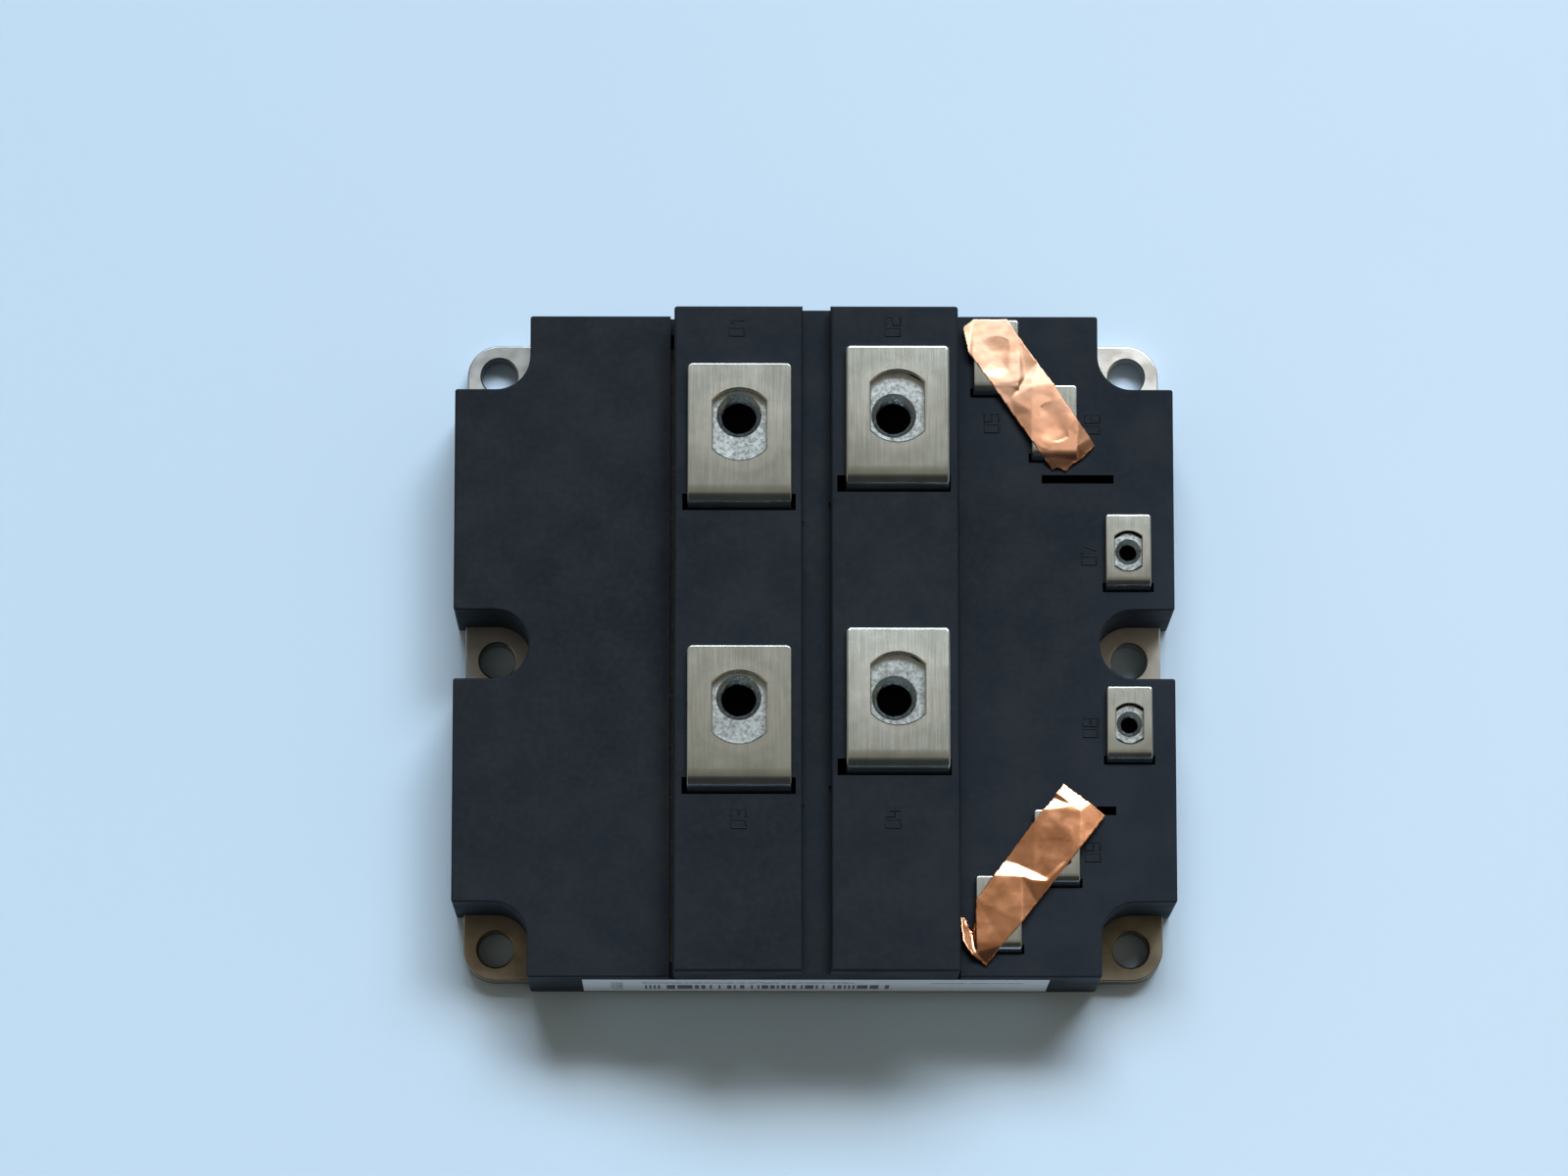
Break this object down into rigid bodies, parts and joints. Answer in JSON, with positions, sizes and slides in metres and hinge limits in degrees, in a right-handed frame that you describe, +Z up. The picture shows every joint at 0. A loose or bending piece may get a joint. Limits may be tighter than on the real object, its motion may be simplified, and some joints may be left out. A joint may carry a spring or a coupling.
{
  "type": "igbt module",
  "caption": "Power transistor module: nickel-plated base plate, black case, raised busbar terminals over captive nuts, and small control terminals shorted in pairs by copper foil.",
  "frame": {"origin": "centre of the base plate's underside", "axes": "+X along the long side towards the control terminals, +Y towards the back, away from the label, +Z up out of the base plate"},
  "size_m": [0.1398, 0.1296, 0.038],
  "materials": {
    "case_plastic": "matt blue-black moulded plastic",
    "nickel_base": "nickel plating over copper, satin, slightly tarnished",
    "nickel_terminal": "nickel plating with a fine grain along the tab",
    "zinc_nut": "blue zinc plating, grainy",
    "copper_foil": "bright soft copper foil with dents and creases",
    "label": "white paper label with plain dark bars",
    "seal_rubber": "cured silicone adhesive",
    "solder": "dull solder",
    "bare_copper": "bare copper",
    "ceramic": "white fired ceramic",
    "silicon": "metallised silicon",
    "bond_wire": "aluminium wire",
    "board": "green solder mask",
    "pin_metal": "plated brass",
    "resistor": "black ceramic chip",
    "gel": "clear soft silicone gel"
  },
  "bodies": {
    "root": {"back_copper_1": "bare_copper", "back_copper_2": "bare_copper", "back_copper_3": "bare_copper", "back_copper_4": "bare_copper", "base_plate": "nickel_base", "bond_wires_1": "bond_wire", "bond_wires_2": "bond_wire", "bond_wires_3": "bond_wire", "bond_wires_4": "bond_wire", "case_frame": "case_plastic", "case_seal": "seal_rubber", "ceramic_1": "ceramic", "ceramic_2": "ceramic", "ceramic_3": "ceramic", "ceramic_4": "ceramic", "circuit_copper_1": "bare_copper", "circuit_copper_2": "bare_copper", "circuit_copper_3": "bare_copper", "circuit_copper_4": "bare_copper", "control_terminal_c1": "nickel_terminal", "control_terminal_c2": "nickel_terminal", "control_terminal_e1": "nickel_terminal", "control_terminal_e2": "nickel_terminal", "control_terminal_g1": "nickel_terminal", "control_terminal_g2": "nickel_terminal", "diode_chip_1": "silicon", "diode_chip_2": "silicon", "diode_chip_3": "silicon", "diode_chip_4": "silicon", "diode_chip_5": "silicon", "diode_chip_6": "silicon", "diode_chip_7": "silicon", "diode_chip_8": "silicon", "foil_strip_lower": "copper_foil", "foil_strip_upper": "copper_foil", "front_label": "label", "gate_board": "board", "gate_pins": "pin_metal", "gate_resistors": "resistor", "igbt_chip_1": "silicon", "igbt_chip_2": "silicon", "igbt_chip_3": "silicon", "igbt_chip_4": "silicon", "igbt_chip_5": "silicon", "igbt_chip_6": "silicon", "igbt_chip_7": "silicon", "igbt_chip_8": "silicon", "m4_nuts": "zinc_nut", "m8_nuts": "zinc_nut", "power_terminal_c1": "nickel_terminal", "power_terminal_c2": "nickel_terminal", "power_terminal_e1": "nickel_terminal", "power_terminal_e2": "nickel_terminal", "silicone_gel": "gel", "substrate_solder_1": "solder", "substrate_solder_2": "solder", "substrate_solder_3": "solder", "substrate_solder_4": "solder", "terminal_block": "case_plastic"}
  },
  "joints": []
}
